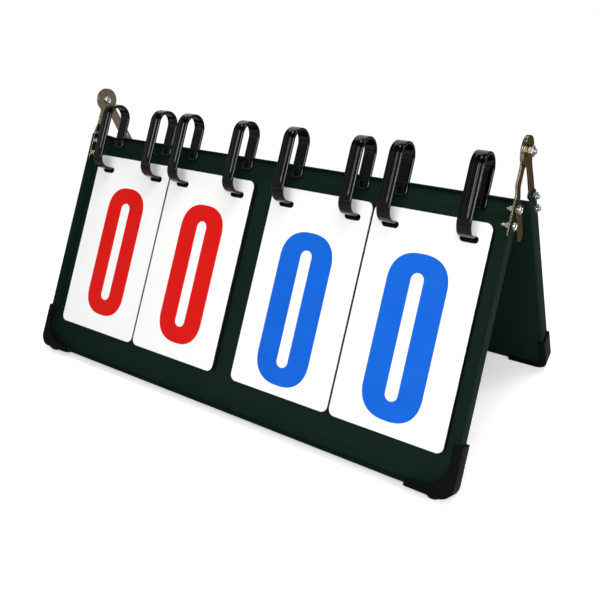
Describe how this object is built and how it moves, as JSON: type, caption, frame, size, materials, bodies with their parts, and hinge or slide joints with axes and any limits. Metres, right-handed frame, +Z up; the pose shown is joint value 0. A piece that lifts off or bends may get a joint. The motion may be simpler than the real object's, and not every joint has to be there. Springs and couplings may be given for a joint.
{
  "type": "flip scoreboard",
  "caption": "Folding tabletop scoreboard: two hinged sheet-metal boards in a tent, with stacks of number cards that flip on moulded loops.",
  "frame": {"origin": "on the ground, under the middle of the hinge line, midway between the four feet", "axes": "+Z up, +X along the hinge line to the right as the scores are read, -Y towards the reader"},
  "size_m": [0.398, 0.2078, 0.2147],
  "materials": {
    "board_paint": "satin dark green powder coat",
    "loop_plastic": "glossy black moulding",
    "cap_plastic": "satin black moulding",
    "card_white": "smooth white card with printed digits",
    "nickel_plate": "polished nickel plating",
    "zinc_fastener": "bright zinc plating",
    "rivet_black": "black painted rivet"
  },
  "bodies": {
    "front_frame": {"front_board": "board_paint", "loop_1": "loop_plastic", "loop_2": "loop_plastic", "loop_3": "loop_plastic", "loop_4": "loop_plastic", "loop_5": "loop_plastic", "loop_6": "loop_plastic", "loop_7": "loop_plastic", "loop_8": "loop_plastic", "card_stack_1": "card_white", "card_stack_2": "card_white", "card_stack_3": "card_white", "card_stack_4": "card_white", "loop_rivets": "rivet_black", "front_left_cap": "cap_plastic", "front_right_cap": "cap_plastic", "front_left_plate": "nickel_plate", "front_right_plate": "nickel_plate", "right_lever": "nickel_plate", "pivot_bolts": "zinc_fastener", "pivot_nuts": "zinc_fastener", "front_plate_screws": "zinc_fastener", "front_plate_nuts": "zinc_fastener"},
    "rear_frame": {"rear_board": "board_paint", "rear_left_cap": "cap_plastic", "rear_right_cap": "cap_plastic", "rear_left_plate": "nickel_plate", "rear_right_plate": "nickel_plate", "rear_plate_screws": "zinc_fastener", "rear_plate_nuts": "zinc_fastener"},
    "card_1": {"front_card_1": "card_white"},
    "card_2": {"front_card_2": "card_white"},
    "card_3": {"front_card_3": "card_white"},
    "card_4": {"front_card_4": "card_white"}
  },
  "joints": [
    {"name": "board_fold", "type": "hinge", "parent": "front_frame", "child": "rear_frame", "pos_m": [0, 0, 0.20468], "axis": [1, 0, 0], "range_deg": [-27, 128]},
    {"name": "card_1_swing", "type": "hinge", "parent": "front_frame", "child": "card_1", "pos_m": [-0.14, -0.02098, 0.1644], "axis": [-1, 0, 0], "range_deg": [0, 90]},
    {"name": "card_2_swing", "type": "hinge", "parent": "front_frame", "child": "card_2", "pos_m": [-0.0524, -0.02098, 0.1644], "axis": [-1, 0, 0], "range_deg": [0, 90]},
    {"name": "card_3_swing", "type": "hinge", "parent": "front_frame", "child": "card_3", "pos_m": [0.0524, -0.02098, 0.1644], "axis": [-1, 0, 0], "range_deg": [0, 90]},
    {"name": "card_4_swing", "type": "hinge", "parent": "front_frame", "child": "card_4", "pos_m": [0.14, -0.02098, 0.1644], "axis": [-1, 0, 0], "range_deg": [0, 90]}
  ]
}
